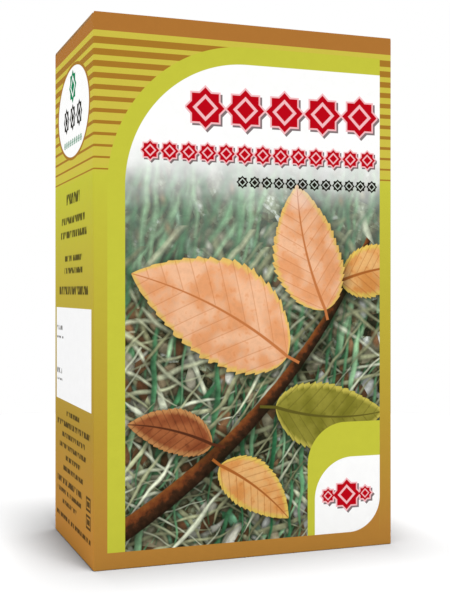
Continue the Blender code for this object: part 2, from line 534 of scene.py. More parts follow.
def turned(x, y, middle, angle, length, width):
    """A point seen from a middle, along and across a direction, counted in lengths and widths."""
    cos, sin = math.cos(math.radians(angle)), math.sin(math.radians(angle))
    along_start = -(middle[0] * cos + middle[1] * sin) / length
    across_start = (middle[0] * sin - middle[1] * cos) / width
    y_along = y.math("MULTIPLY_ADD", y, sin / length, along_start)
    along = x.math("MULTIPLY_ADD", x, cos / length, y_along)
    y_across = y.math("MULTIPLY_ADD", y, cos / width, across_start)
    return along, x.math("MULTIPLY_ADD", x, -sin / width, y_across)


def luck(number):
    """Three random values that depend on a whole number only."""
    settings = {"noise_dimensions": "1D"}
    return number.node("TexWhiteNoise", settings, {"W": number}, output="Color").channels()


def draw_strands(under, dark, middle, light, along, across, width, share, sway, blur):
    row = across.floor()
    slide = row.node("TexWhiteNoise", {"noise_dimensions": "1D"}, {"W": row}) * ROW_SLIDE
    shifted = along + slide
    column = shifted.floor()
    tone, tilt, size = luck(row * ROW_NUMBERING + column)
    onward = shifted - column - 0.5
    bow = onward * onward
    off = across - row - 0.5 + onward * (tilt - 0.5) * STRAND_TILT + bow * (tone - 0.5) * sway
    root, tip = STRAND_POINTS
    taper = least((onward + 0.5) * root, (0.5 - onward) * tip).limited()
    thin, more = STRAND_HALVES
    half = taper * (size * size * more + thin) - (size < 1 - share)
    gap = (half - abs(off)) * width
    shaded = (filled(gap + STRAND_SHADE_REACH, blur + 0.6) * STRAND_SHADOW).between(under, SHADE)
    pale = (tone * 2 - 1).limited().between((tone * 2).limited().between(dark, middle), light)
    lit = off * -1.4 + tilt * 0.34 + 0.8
    return filled(gap, blur).between(shaded, pale * lit)


STRANDS = shared("strands", "under dark middle light", "along across width share sway blur", draw_strands)


def strands(under, x, y, blur, angle, length, width, share, sway, colours):
    """Lays one layer of strands over a colour. share is how many of the bricks hold one."""
    along, across = turned(x, y, (-angle, angle / 3), angle, length, width)
    tones = [screen_colour(*colour) for colour in colours]
    return under.drawn_by(STRANDS, under, *tones, along, across, width, share, sway, blur)


STRAW = ((112, 112, 82), (158, 162, 128), (206, 212, 188))
GRASS = ((44, 96, 62), (92, 140, 100), (154, 192, 150))
MIST = ((56, 104, 76), (110, 156, 124), (170, 204, 176))
LITTER = ((84, 70, 52), (128, 126, 104), (192, 194, 184))

print("strands: straw, grass, mist and litter")

# %% [markdown]
# Under the strands lie crumbled leaves. Voronoi cells are angular like broken leaf, and with a second
# and third octave each piece breaks up again. The cell's random number gives its tone, and the
# distance from the cell's middle darkens its rim. Some whole dead leaves lie between the strands: they
# are the middles of larger cells, and they vanish with the blur of the far ground.

# %% Crumbled leaves
GROUND = fade(
    (0.0, 34, 34, 24), (0.3, 82, 70, 50), (0.55, 112, 118, 92), (0.8, 150, 158, 138), (1.0, 206, 212, 204)
)
HAZE = screen_colour(186, 204, 186)


def crumbs(place, size):
    """Broken leaves, about size millimetres across."""
    settings = {"voronoi_dimensions": "2D", "normalize": True}
    sockets = {"Vector": place, "Scale": 1 / size, "Detail": 2.0, "Roughness": 0.7}
    cell = place.node("TexVoronoi", settings, sockets, output="Color")
    red, green, _ = cell.channels()
    tone = red + green - cell.output("Distance") * 1.1 - 0.25
    return tone.ramp(GROUND)


FALLEN = fade((0.0, 82, 54, 36), (0.4, 140, 104, 72), (0.6, 152, 146, 120), (1.0, 208, 212, 206))
FALLEN_REACH = 0.52  # from the middle of its cell to a leaf's edge, as a share of the cell


def fallen(under, place, blur, angle, long, wide, share):
    """Whole dead leaves: the middles of some of the cells, which are stretched to long by wide."""
    sockets = {"Vector": squeezed(place, (long, wide), angle), "Scale": 1.0}
    cell = place.node("TexVoronoi", {"voronoi_dimensions": "2D"}, sockets, output="Color")
    off = cell.output("Distance")
    present, green, _ = cell.channels()
    gap = (FALLEN_REACH - off - blur * 0.55) * wide - (present > share) * wide
    shaded = (filled(gap + 0.5, 0.9) * STRAND_SHADOW).between(under, SHADE)
    tone = green.ramp(FALLEN)
    return filled(gap, blur).between(shaded, tone * (1.2 - off * 1.1))


print("ground in", len(GROUND), "tones, dead leaves in", len(FALLEN))

# %% [markdown]
# ## The picture: leaves on a twig
# Over the litter lies a twig with broad autumn leaves. A leaf is laid out along its midrib, from 0 at
# the foot to 1 at the tip, and its half width is the product of two powers. Saw teeth on the edge, a
# midrib and curved side veins follow from the same two numbers. The blade bulges between the veins,
# which is drawn as light and shade.

# %% Leaves
LEAF_TEETH = 17
LEAF_VEINS = 10
LEAF_FULLNESS = 2.75  # brings the product of the two powers to 1 where the leaf is widest
TOOTH_DEPTH = 0.07
VEIN_SWEEP = 0.85
VEIN_HALF_WIDTH = 0.12
STALK_HALF_WIDTH = 0.34
RIM_WIDTH = 0.55
LEAF_SHADOW = 0.8
LIGHT_FROM = (-0.6, -0.8)
SHADOW_THROW = 1.6


def draw_leaf(
    under, face, warm, edge, rib, along, across, length, ratio, curl, stalk, lean, speckle, blotch
):
    onward = along.limited()
    bent = across - onward * (1 - onward) * curl
    side = abs(bent)
    past = abs(along - onward) * length
    profile = onward**0.6 * (1 - onward) ** 0.9 * ratio * LEAF_FULLNESS
    teeth = (onward * LEAF_TEETH + side * 4).fract() * TOOTH_DEPTH + blotch * 0.16 + 0.9
    gap = (profile * teeth - side) * length - past
    stalk = least(STALK_HALF_WIDTH - side * length, least(along + stalk, 0.1 - along) * length)

    thrown = (profile - abs(bent + lean * SHADOW_THROW / length)) * length - past
    shaded = (filled(most(thrown, stalk) + 0.6, 1.7) * LEAF_SHADOW).between(under, SHADE)

    phase = (onward - side * VEIN_SWEEP) * LEAF_VEINS
    part = phase.fract() - 0.5
    vein = filled(VEIN_HALF_WIDTH - (0.5 - abs(part)) * length / LEAF_VEINS, 0.12) * 0.55
    midrib = filled(0.4 - onward * 0.3 - side * length, 0.1)
    roll = bent / (profile + 0.02)
    light = part * 0.1 * lean + roll * lean * 0.12 + speckle * 0.34 + 0.8
    blade = ease(blotch, 0.35, 0.65).between(face, warm)
    blade = (ease(speckle, 0.55, 0.85) * 0.5).between(blade, rib)
    rimmed = filled(RIM_WIDTH - gap + blotch * 0.8, 0.45).between(blade, edge) * light
    veined = most(vein, midrib).between(rimmed, rib)
    with_stalk = filled(stalk, 0.1).between(shaded, rib)
    return filled(gap, 0.08).between(with_stalk, veined)


LEAF_NUMBERS = "along across length ratio curl stalk lean speckle blotch"
LEAF = shared("leaf", "under face warm edge rib", LEAF_NUMBERS, draw_leaf)


def leaf(under, x, y, speckle, blotch, foot, angle, length, ratio, curl, stalk, palette):
    """Lays a leaf over a colour. foot is where its blade starts. ratio, its half width, and stalk are
    shares of its length."""
    along, across = turned(x, y, foot, angle, length, length)
    turn = math.radians(angle)
    lean = -math.sin(turn) * LIGHT_FROM[0] + math.cos(turn) * LIGHT_FROM[1]
    colours = [screen_colour(*colour) for colour in palette]
    numbers = (along, across, length, ratio, curl, stalk, lean, speckle, blotch)
    return under.drawn_by(LEAF, under, *colours, *numbers)


PEACH_LEAF = ((244, 190, 150), (232, 162, 112), (230, 190, 104), (196, 120, 68))
GOLD_LEAF = ((232, 180, 116), (216, 146, 78), (222, 190, 92), (168, 98, 44))
OLIVE_LEAF = ((146, 140, 56), (122, 118, 40), (190, 178, 80), (96, 90, 34))
RUST_LEAF = ((168, 100, 60), (136, 72, 42), (190, 134, 82), (86, 46, 28))

print("four leaf palettes")

# %% [markdown]
# The twig is one long bent line. Its bark is darker below and reddish where the light falls.

# %% Twig
TWIG_FOOT = (6.0, 117.0)
TWIG_ANGLE = -47
TWIG_LENGTH = 92.0
TWIG_BEND = 0.30
TWIG_HALF_WIDTH = 2.3
TWIG_TAPER = 0.75
BARK = fade((0.0, 132, 78, 38), (0.3, 112, 60, 32), (0.55, 62, 40, 26), (1.0, 34, 24, 16))


def twig(under, x, y, speckle):
    along, across = turned(x, y, TWIG_FOOT, TWIG_ANGLE, TWIG_LENGTH, TWIG_LENGTH)
    bent = (across - along * (1 - along) * TWIG_BEND) * TWIG_LENGTH
    half = (1 - along * TWIG_TAPER) * TWIG_HALF_WIDTH + speckle * 0.3
    gap = half - abs(bent)
    shade = filled(gap + 1.4 + bent * 0.3, 1.8) * (along < 1) * 0.7
    shaded = shade.between(under, SHADE)
    round_bark = bent / half * 0.5 + speckle * 0.8 + 0.1
    bark = round_bark.ramp(BARK)
    return (filled(gap, 0.1) * (along < 1)).between(shaded, bark)


print("twig", TWIG_LENGTH, "mm long")

# %% [markdown]
# ## The whole picture
# Far strands are broad and soft, near ones are thin and sharp: the blur shrinks from the top of the
# picture to its foot. A slow warp of the coordinates keeps the layers from running straight.

# %% The picture
PICTURE_FADE = (30.0, 48.0)  # where the picture starts to show, and where it is at full strength
WANDER = 5.0
HAZE_STRENGTH = 0.28
# after which layer of strands come dead leaves: angle, length, width and how many of the cells
FALLEN_AFTER = {1: (25, 12.0, 7.0, 0.4), 3: (-50, 9.0, 4.5, 0.35), 5: (80, 7.0, 3.4, 0.3)}


def picture(x, y, place):
    """The woodland floor, for a point of the front."""
    aside, down, patch = noise(place, 18.0, output="Color").channels()
    drift_x = x + (aside - 0.5) * WANDER
    drift_y = y + (down - 0.5) * WANDER
    speckle = noise(place, 1.5, detail=4.0)
    blotch = noise(place, 6.0, detail=3.0)
    blur = ease(y, 92, 36) * 0.6 + 0.2
    near = ease(y, 40, 78)
    heap = crumbs(place, 3.6)
    layers = [  # angle, length, width, how many of the bricks, sway and colours
        (68, 30, 5.0, 0.7, 0.5, MIST),
        (20, 14, 7.0, near * 0.5, 0.3, LITTER),
        (104, 34, 4.2, 0.8, 0.4, GRASS),
        (-35, 11, 8.0, near * 0.5, 0.3, LITTER),
        (64, 22, 3.4, near * 0.5, 0.6, STRAW),
        (124, 26, 2.8, 0.5, 0.4, GRASS),
        (-12, 24, 2.6, near * 0.6, 0.6, STRAW),
        (34, 20, 2.2, near * 0.5, 0.6, STRAW),
        (94, 40, 2.6, 0.5, 0.3, GRASS),
        (-50, 30, 2.2, near * 0.5, 0.5, STRAW),
    ]
    for number, layer in enumerate(layers):
        heap = strands(heap, drift_x, drift_y, blur, *layer)
        if number in FALLEN_AFTER:
            heap = fallen(heap, place, blur, *FALLEN_AFTER[number])
    heap = heap * ((speckle * 0.9 + 0.6) * (blotch * 1.0 + 0.6)) * (patch * 1.3 + 0.45)
    heap = (ease(y, 72, 32) * HAZE_STRENGTH).between(heap, HAZE)
    sprig = twig(heap, x, y, speckle)
    leaves = [  # foot, angle, length, half width, curl, stalk and colours
        ((28, 98), -165, 21, 0.24, 0.2, 0.16, RUST_LEAF),
        ((30, 103), 38, 22, 0.26, -0.2, 0.11, GOLD_LEAF),
        ((44, 90), 4, 29, 0.27, 0.25, 0.14, OLIVE_LEAF),
        ((61, 60), -10, 22, 0.28, -0.2, 0.05, GOLD_LEAF),
        ((47, 78), -153, 43, 0.27, 0.22, 0.08, PEACH_LEAF),
        ((57, 67), -104, 31, 0.28, -0.2, 0.08, PEACH_LEAF),
    ]
    for each in leaves:
        sprig = leaf(sprig, x, y, speckle, blotch, *each)
    return sprig


print("picture from", PICTURE_FADE[0], "mm down, at full strength from", PICTURE_FADE[1], "mm")

# %% [markdown]
# ## The face print
# Now the layers go together in the order of the print: ground and stripes, arch, picture that fades
# up into white, ornament, and the lime and white corner panel at the foot, with its two round corners.

# %% Face print
STAR_ROW = {"left": 21.4, "middle": 20.0, "pitch": 9.95, "count": 5, "scale": 0.96}
SMALL_ROW = {"left": 10.8, "middle": 30.4, "pitch": 4.6, "count": 13, "scale": 0.44}
FINE_ROW = {"left": 34.0, "middle": 36.9, "pitch": 3.09, "count": 12, "scale": 0.31}
PANEL_LIME = (52.3, 94.25, 10.0)  # left, top and corner radius
PANEL_WHITE = (54.2, 102.75, 10.0)
PANEL_FOOT_RADIUS = 8.3
PANEL_OVERLAP = 0.2
BADGE_MIDDLE = (62.7, 111.9)
BADGE_SCALES = (0.74, 0.36)
BADGE_PITCH = 5.0


def corner(x, y, left, top, radius):
    """How far inside a region a point lies that is open to the right and below, with a round corner."""
    return radius - distance(most(left + radius - x, 0), most(top + radius - y, 0))


def badge(x, y):
    """One star with a smaller one on either side."""
    return most(star(x, y, BADGE_SCALES[0]), star(abs(x) - BADGE_PITCH, y, BADGE_SCALES[1]))


def face_print(x, y, place):
    right = WIDTH - SIDE_STRIP
    foot = HEIGHT - FOOT_BAND
    ground = striped_ground(y, FRONT_FADE_PAINTED_LIGHTER_AT_FOOT)
    arch = distance(most(ARCH_CENTRE[0] - x, 0), most(ARCH_CENTRE[1] - y, 0))
    beside = right - x
    limed = filled(least(ARCH_OUTER - arch, beside)).between(ground, LIME)
    shown = ease(y + noise(place, 5.0) * 6, *PICTURE_FADE)
    window = shown.between(WHITE, picture(x, y, place))
    window = stamp(window, lambda a, b: star_row(a, b, **STAR_ROW), x, y, 0.4)
    window = stamp(window, lambda a, b: star_row(a, b, **SMALL_ROW), x, y, 0.3)
    window = filled(star_row(x, y, **FINE_ROW)).between(window, DARK_INK)
    framed = filled(least(ARCH_INNER - arch, beside)).between(limed, window)

    panelled = filled(least(corner(x, y, *PANEL_LIME), beside)).between(framed, LIME)
    past_x, past_y = x - right + PANEL_FOOT_RADIUS, y - foot + PANEL_FOOT_RADIUS
    foot_round = distance(most(past_x, 0), most(past_y, 0))
    in_white = least(corner(x, y, *PANEL_WHITE), beside)
    within_round = PANEL_FOOT_RADIUS - foot_round
    # The foot's brown, painted lighter against the shade near the floor, fills under the panel's round
    # corner.
    panelled = filled(least(in_white, PANEL_OVERLAP - within_round)).between(panelled, FOOT_BROWN_PAINTED_LIGHTER)
    panelled = filled(least(in_white, within_round)).between(panelled, WHITE)
    badge_x, badge_y = BADGE_MIDDLE
    panelled = stamp(panelled, lambda a, b: badge(a - badge_x, b - badge_y), x, y, 0.35)
    headed = filled(HEAD_BAND - y).between(panelled, BROWN)
    # The foot band: brown painted lighter, to make up for the shade near the floor.
    return filled(y - foot).between(headed, FOOT_BROWN_PAINTED_LIGHTER)


print(f"corner panel {WIDTH - SIDE_STRIP - PANEL_LIME[0]:.2f} mm wide")

# %% [markdown]
# ## The side print
# The sides carry the stripes and the fade from edge to edge, a white oval, a white field to write on,
# rows of short dark bars, uneven like a weaver's draft, and two small square marks near the foot.

# %% Side print
OVAL_MIDDLE = (22.8, 18.9)
OVAL_RADII = (17.6, 10.9)
OVAL_LINE = 0.75
OVAL_STAR = (22.5, 12.7, 0.84)  # middle and scale
OVAL_DARK_ROW = {"left": 11.4, "middle": 20.2, "pitch": 7.4, "count": 3, "scale": 0.68}
OVAL_GREEN_ROW = {"left": 12.0, "middle": 26.2, "pitch": 2.33, "count": 9, "scale": 0.2}
FIELD = (2.2, 66.6, 42.8, 90.0)  # left, top, right and foot
MARKS = [(37.3, 109.4, 42.1, 112.7), (37.3, 113.5, 42.1, 116.8)]
MARK_LINE = 0.3  # half the width of a mark's outer line
MARK_CORE = 1.0  # from its outline to its dark middle
BAR_ROWS = [  # middle, left, right and height
    (39.8, 15.0, 30.5, 2.6),
    (45.0, 9.0, 36.0, 1.7),
    (48.5, 8.0, 38.0, 1.7),
    (54.4, 13.0, 33.0, 1.4),
    (57.4, 12.5, 33.5, 1.4),
    (62.3, 6.0, 39.5, 2.0),
    (71.8, 2.9, 9.8, 1.1),
    (74.2, 2.9, 11.0, 0.5),
    (82.8, 2.9, 9.2, 1.3),
    (85.0, 2.9, 10.0, 0.5),
    (93.0, 15.0, 30.0, 1.2),
    (95.8, 3.5, 41.5, 1.4),
    (98.6, 9.5, 36.0, 1.2),
    (101.4, 6.0, 38.0, 1.2),
    (104.2, 14.0, 31.0, 1.2),
    (107.0, 11.0, 34.0, 1.2),
    (110.4, 3.5, 33.0, 1.5),
    (113.0, 3.5, 33.0, 1.1),
    (115.6, 10.0, 27.0, 1.1),
    (119.4, 2.5, 42.0, 1.1),
]
BAR_INK = screen_colour(40, 30, 10)
BAR_STRENGTH = 0.85
GREEN = screen_colour(10, 132, 84)


def bars(x, y, place):
    """Rows of short bars of uneven length, cut from long ones by a noise squeezed along x."""
    ink = None
    for middle, left, right, tall in BAR_ROWS:
        within = least(least(x - left, right - x), tall / 2 - abs(y - middle))
        ink = within if ink is None else most(ink, within)
    gaps = noise(squeezed(place, (1.0, 2.8)), 1.0, detail=0.0)
    return filled(least(ink, (0.6 - gaps) * 3), 0.14)


def within_box(x, y, box):
    left, top, right, foot = box
    return least(least(x - left, right - x), least(y - top, foot - y))


def side_print(x, y, place):
    ground = striped_ground(y, SIDE_FADE_PAINTED_LIGHTER_AT_FOOT)
    fielded = filled(within_box(x, y, FIELD)).between(ground, FIELD_WHITE)
    barred = (bars(x, y, place) * BAR_STRENGTH).between(fielded, BAR_INK)
    for box in MARKS:
        inside = within_box(x, y, box)
        mark = most(MARK_LINE - abs(inside - MARK_LINE), inside - MARK_CORE)
        barred = (filled(mark, 0.1) * BAR_STRENGTH).between(barred, BAR_INK)
    across = (x - OVAL_MIDDLE[0]) / OVAL_RADII[0]
    along = (y - OVAL_MIDDLE[1]) / OVAL_RADII[1]
    oval = (1 - distance(across, along)) * OVAL_RADII[1]
    ringed = filled(oval + OVAL_LINE).between(barred, STRIPE_BROWN)
    ovalled = filled(oval).between(ringed, WHITE)
    star_x, star_y, scale = OVAL_STAR
    green = most(star(x - star_x, y - star_y, scale), star_row(x, y, **OVAL_GREEN_ROW))
    ovalled = filled(green).between(ovalled, GREEN)
    ovalled = filled(star_row(x, y, **OVAL_DARK_ROW)).between(ovalled, DARK_INK)
    return filled(HEAD_BAND - y).between(ovalled, BROWN)


print(len(BAR_ROWS), "rows of bars on each side")

# %% [markdown]
# ## Finishes
# Every finish starts from a colour and adds what board really shows. `close_finish` gives all of them
# the fine fibre of the sheet as a bump. `printed_finish` adds slight mottling of the ink, a varnish that
# is not quite even, and worn white flecks where the print is creased. The UV map of each piece holds
# millimetres from the top left corner of its panel, so the print can't slide when a flap turns.

# %% Finishes
PRINT_MAP = "print"
FIBRE = 0.22
FIBRE_DEPTH = 0.012
GLOSS = 0.004
MOTTLE = 2.5
CREASE_WEAR = 0.2  # how far from a crease the print is worn
WEAR_STRENGTH = 0.1


def close_finish(start, place, colour, roughness, fibre_depth=FIBRE_DEPTH):
    """Adds the sheet's fibre as a bump and the shader at the end."""
    fibre = noise(place, FIBRE, detail=3.0)
    bump = start.node("Bump", None, {"Height": fibre * (fibre_depth * MM), "Distance": 1.0})
    sockets = {"Base Color": colour, "Roughness": roughness, "Normal": bump, "Specular IOR Level": GLOSS}
    shader = start.node("BsdfPrincipled", None, sockets)
    start.node("OutputMaterial", None, {"Surface": shader})


def mottled(colour, mottle):
    return colour * (mottle * 0.05 + 0.975)


def printed_finish(name, draw, crease_columns):
    """An inked and varnished face. crease_columns are the x of its upright creases."""
    material, start = new_finish(name)
    place = start.node("UVMap", {"uv_map": PRINT_MAP})
    x, y = start.node("Attribute", {"attribute_name": PRINT_MAP}, output="Vector").parts()
    colour = draw(x, y, place)
    mottle = noise(place, MOTTLE, detail=3.0)
    colour = mottled(colour, mottle)
    scuffs = noise(place, 0.5, detail=4.0)
    wear = None
    for column in crease_columns:
        close = CREASE_WEAR - abs(x - column)
        wear = close if wear is None else most(wear, close)
    worn = filled(wear + (scuffs - 0.8) * 1.4, 0.15) * WEAR_STRENGTH
    colour = worn.between(colour, WHITE)
    close_finish(start, place, colour, mottle * 0.12 + 0.46 + worn * 0.2)
    return material


def end_print(y, place, inked):
    """Plain brown that ends a given length past the crease. Beyond it the coated board is white."""
    edge = y + inked + (noise(place, 3.0) - 0.5) * 0.3
    return filled(edge).between(WHITE, BROWN)


def lid_print(x, y, place):
    """The brown of the lid, with a row of stars between two fine lines."""
    plain = end_print(y, place, LID_INKED)
    off_middle = abs(y + DEPTH / 2)
    line = LID_LINE_HALF_WIDTH - abs(off_middle - LID_LINE_PLACE)
    lines = least(line, x.math("PINGPONG", x, WIDTH / 2) - LID_LINE_INSET)
    return filled(most(star_row(x, y, **LID_ROW), lines)).between(plain, WARM_LIME)


face_finish = printed_finish("face_print", face_print, (0.0, WIDTH))
side_finish = printed_finish("side_print", side_print, (0.0, DEPTH))
for finish in (face_finish, side_finish):
    print(finish.name, "has", len(finish.node_tree.nodes), "nodes")

# %% [markdown]
# The lid is brown to a few millimetres past its second crease, and the dust flaps only as far as the
# print bleeds over their crease. Inside, the board is bare: greyish cream with pale and dark fibres.
# Its cut edges show the plies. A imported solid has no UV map, so its finish reads its own coordinates.

# %% Plain finishes
LID_INKED = DEPTH + 5.0
LID_ROW = {"left": 10.5, "middle": -DEPTH / 2, "pitch": 10.8, "count": 5, "scale": 1.0}
LID_LINE_PLACE = 9.5  # from the lid's middle line
LID_LINE_HALF_WIDTH = 0.35
LID_LINE_INSET = 6
DUST_INKED = 4.0
BARE_LIGHT = screen_colour(206, 196, 176)
BARE_DARK = screen_colour(180, 167, 143)
EDGE_LIGHT = screen_colour(176, 138, 90)
EDGE_DARK = screen_colour(148, 110, 64)


def bare_colour(place):
    """Uncoated board: soft clouds with fibres along one direction."""
    clouds = noise(place, 6.0, detail=4.0)
    fibres = noise(squeezed(place, (0.25, 1.4)), 1.0, detail=3.0)
    return (clouds * 0.5 + fibres * 0.5).between(BARE_LIGHT, BARE_DARK)


def own_millimetres(start):
    """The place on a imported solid, in millimetres."""
    return start.node("TexCoord", output="Object") * (1 / MM, 1 / MM, 1 / MM)


def bare_finish(name, packed=False):
    material, start = new_finish(name)
    place = own_millimetres(start) if packed else start.node("UVMap", {"uv_map": PRINT_MAP})
    close_finish(start, place, bare_colour(place), noise(place, 3.0) * 0.1 + 0.8, 0.03)
    return material


def edge_finish():
    material, start = new_finish("cut_edge")
    place = start.node("UVMap", {"uv_map": PRINT_MAP})
    plies = noise(place, 0.3, detail=4.0)
    close_finish(start, place, plies.between(EDGE_LIGHT, EDGE_DARK), plies * 0.1 + 0.8, 0.04)
    return material


lid_finish = printed_finish("lid_print", lid_print, (0.0, WIDTH))
dust_finish = printed_finish("dust_flap_print", lambda x, y, place: end_print(y, place, DUST_INKED), (0.0,))
inside_finish = bare_finish("bare_inside")
flap_finish = bare_finish("bare_flap", packed=True)
cut_finish = edge_finish()
print("plain finishes: lid, dust flap, bare board, cut edge")

# %% [markdown]
# ## Folding a sheet
# A walk along the middle of the board gives its section: straight runs and bends of a given radius.
# Each stop of the walk carries a rung across the sheet, and the rungs become a skin on either side
# with edges between them. That is how the real sheet is made, from flat to folded, and it keeps the
# thickness true round every crease. The print's millimetres are written to the UV map on the way.

# %% Walk along the board
class Stop:
    """One stop of the walk: its place and heading in the section, and the length walked so far."""

    def __init__(self, across, along, heading, walked):
        self.across = across
        self.along = along
        self.heading = heading
        self.walked = walked


def walk(start, heading, moves):
    """Stops of a walk. A move is ("run", length, steps) or ("turn", degrees, radius, steps)."""
    stops = [Stop(*start, math.radians(heading), 0.0)]
    for kind, size, *rest in moves:
        steps = rest[-1]
        for _ in range(steps):
            last = stops[-1]
            turn = math.radians(size) / steps if kind == "turn" else 0.0
            chord = 2 * rest[0] * math.sin(abs(turn) / 2) if turn else size / steps
            arc = rest[0] * abs(turn) if turn else chord
            aim = last.heading + turn / 2
            across = last.across + chord * math.cos(aim)
            along = last.along + chord * math.sin(aim)
            stops.append(Stop(across, along, last.heading + turn, last.walked + arc))
    return stops


def round_runs(radius, steps):
    """Runs over a sheet's round end, which get shorter towards the tip, where the outline turns most."""
    reaches = [radius * math.sin(math.pi / 2 * step / steps) for step in range(steps + 1)]
    return [("run", there - here, 1) for here, there in zip(reaches, reaches[1:])]


def cut_by_round(radius, into_round):
    """How much is cut from either side of a sheet, that far into its round end."""
    if into_round <= 0:
        return 0.0
    return radius - math.sqrt(max(radius**2 - into_round**2, 0.0))


print("a full turn of radius 1 walks", round(walk((0, 0), 0, [("turn", 360, 1, 8)])[-1].walked, 3))

# %% [markdown]
# The sheet is closed: an outer and an inner skin, and the cut edge all round. Every face knows the gap
# between two rungs that it lies in, because that gap names its panel, with its finish and its print.

# %% Sheet from rungs
FOOT_STEPS = 5
SHARP_ABOVE = 50  # degrees between two faces, from which their edge looks sharp


def rung_points(low, high, columns, foot_radius):
    """Reach and sink of a rung's points: even, but close together where the foot of a sheet is round."""
    steps = FOOT_STEPS if foot_radius else 0
    points = []
    for step in range(steps):
        angle = math.pi / 2 * (1 - step / steps)
        points.append((low + foot_radius * (1 - math.sin(angle)), foot_radius * (1 - math.cos(angle))))
    start = low + foot_radius
    return points + [(start + (high - start) * column / columns, 0.0) for column in range(columns + 1)]


def sheet_faces(count, across):
    """Corners, gap and side of every face of a sheet of count rungs with across points on each skin."""
    faces = []
    for gap in range(count - 1):
        here, there = gap * 2 * across, (gap + 1) * 2 * across
        for column in range(across - 1):
            a, b = here + column, there + column
            c, d = a + across, b + across
            faces.append(((a, b, b + 1, a + 1), gap, "outer"))
            faces.append(((c, c + 1, d + 1, d), gap, "inner"))
        for column, order in ((0, 1), (across - 1, -1)):
            a, b = here + column, there + column
            faces.append(((a, a + across, b + across, b)[::order], gap, "cut"))
    for rung, order in ((0, 1), (count - 1, -1)):
        for column in range(across - 1):
            a = rung * 2 * across + column
            corners = (a, a + 1, a + across + 1, a + across)[::order]
            faces.append((corners, min(rung, count - 2), "cut"))
    return faces


def fold_sheet(name, rungs, panels, columns, finishes, foot_radius=0.0):
    """A sheet of board from rungs across it.

    A rung is (place, outward, along, low, high, mark): the point where its coordinate is 0, the outward
    normal, the direction of the rung, and its two ends. panels gives, for each gap between two rungs,
    the finish of its outer side and a function from a rung's mark and the reach along it to the print's
    x and y. On a flap the mark is the length walked, and on a wall the place of its outer skin.
    """
    half = BOARD / 2
    verts = []
    prints = []
    for place, outward, along, low, high, mark in rungs:
        points = rung_points(low, high, columns, foot_radius)
        for skin in (half, -half):
            for reach, sink in points:
                depth = skin - sink if skin > 0 else skin
                verts.append((place + outward * depth + along * reach) * MM)
                prints.append((mark, reach))
    faces = sheet_faces(len(rungs), len(points))
    mesh = bpy.data.meshes.new(name)
    mesh.from_pydata(verts, [], [corners for corners, _, _ in faces])
    for finish in finishes:
        mesh.materials.append(finish)
    layer = mesh.uv_layers.new(name=PRINT_MAP)
    for face, (_, gap, side) in zip(mesh.polygons, faces):
        outer_finish, print_of = panels[gap]
        finish = {"outer": outer_finish, "inner": inside_finish, "cut": cut_finish}[side]
        face.material_index = finishes.index(finish)
        for loop in face.loop_indices:
            layer.data[loop].uv = print_of(*prints[mesh.loops[loop].vertex_index])
    mesh.validate()
    mesh.shade_smooth()
    mesh.set_sharp_from_angle(angle=math.radians(SHARP_ABOVE))
    piece = bpy.data.objects.new(name, mesh)
    bpy.context.scene.collection.objects.link(piece)
    return piece


print(f"fold_sheet makes a closed sheet {BOARD:.2f} mm thick")

# %% [markdown]
# ## The walls
# The walk goes once round the carton, seen from above: the glue lap inside the right wall, the back,
# the left side, the front, and the right side, whose free edge closes over the lap. The walls are
# flat, as in the photo, and the foot of the outer skin is rounded like a crease. A side wall's dust
# flap is narrower than the wall: a fine slit parts them, and beside it the wall stands up to just under
# the lid as a small shoulder.

# %% Walls
CREASE_RADIUS = 0.25
CORNER_STEPS = 6
WALL_STEPS = 24
WALL_ROWS = 40
GLUE = 0.02
LAP_LENGTH = 11.5
LAP_TAPER = 4.0
LAP_INSET = 4  # from the wall's head and foot to the lap, where it is longest
LAP_STEPS = 8
FOOT_RADIUS = 0.35
UP = Vector((0, 0, 1))
SPRING = 0.25  # the dust flaps rise by this much over their crease and lean on the lid
SPRING_RUN = 8.0
SHOULDER = HEIGHT - BOARD - 0.05  # a side wall's top beside its dust flap, just under the lid
SLIT = 0.1


def wall_top(panel, y):
    """The height where a wall's upright board ends and its flap's crease begins."""
    if panel == "front":
        return HEIGHT
    if panel == "back":
        return LID_CREASE.z - CREASE_RADIUS
    beside_flap = y < flap_low.y - SLIT / 2 or y > flap_high.y + SLIT / 2
    return SHOULDER if beside_flap else DUST_CREASE.z - CREASE_RADIUS + SPRING


def side_runs(*places):
    """The moves along a side wall, with a stop at each end of its dust flap."""
    steps = (1, 1, WALL_STEPS - 4, 1, 1)
    return [("run", abs(there - here), count) for here, there, count in zip(places, places[1:], steps)]


